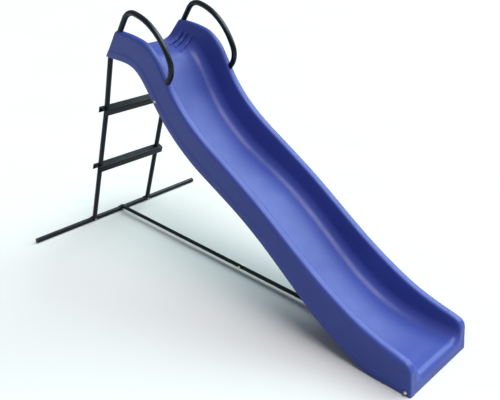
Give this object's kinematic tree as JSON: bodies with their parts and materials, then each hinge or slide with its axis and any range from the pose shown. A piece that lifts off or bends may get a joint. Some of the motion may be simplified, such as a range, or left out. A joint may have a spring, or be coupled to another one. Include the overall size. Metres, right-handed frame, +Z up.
{
  "type": "pool slide",
  "caption": "Free-standing pool slide: a wavy one-piece moulded chute with side walls, carried by a leaning steel tube ladder with handrails, a wide base bar and a ground tie.",
  "frame": {"origin": "middle of the footprint on the ground", "axes": "+X from the ladder towards the run-out, +Y to the left of a rider looking down the chute, +Z up"},
  "size_m": [2.607, 1.3608, 1.5136],
  "materials": {
    "chute_plastic": "semi-gloss blue-violet polyethylene with a slightly satin moulded skin",
    "tube_coating": "black powder coat, satin",
    "cap_plastic": "matt black plug",
    "zinc_plate": "pale yellow zinc plate"
  },
  "bodies": {
    "root": {"chute": "chute_plastic", "handrail_left": "tube_coating", "back_bolt_left": "zinc_plate", "side_bolt_left": "zinc_plate", "handrail_right": "tube_coating", "back_bolt_right": "zinc_plate", "side_bolt_right": "zinc_plate", "upright_left": "tube_coating", "foot_saddle_left": "tube_coating", "foot_bolt_left": "zinc_plate", "foot_nut_left": "zinc_plate", "upright_right": "tube_coating", "foot_saddle_right": "tube_coating", "foot_bolt_right": "zinc_plate", "foot_nut_right": "zinc_plate", "lower_tread_bolt_left": "zinc_plate", "lower_tread_nut_left": "zinc_plate", "lower_tread_bolt_right": "zinc_plate", "lower_tread_nut_right": "zinc_plate", "lower_tread": "tube_coating", "upper_tread_bolt_left": "zinc_plate", "upper_tread_nut_left": "zinc_plate", "upper_tread_bolt_right": "zinc_plate", "upper_tread_nut_right": "zinc_plate", "upper_tread": "tube_coating", "base_bar": "tube_coating", "base_bar_cap_left": "cap_plastic", "base_bar_cap_right": "cap_plastic", "tie_saddle": "tube_coating", "tie_tube_back": "tube_coating", "tie_tube_front": "tube_coating", "tie_bolt": "zinc_plate", "tie_nut": "zinc_plate", "tie_saddle_bolt": "zinc_plate", "tie_saddle_nut": "zinc_plate", "cross_bar": "tube_coating", "front_bolt_left": "zinc_plate", "front_bolt_right": "zinc_plate"}
  },
  "joints": []
}
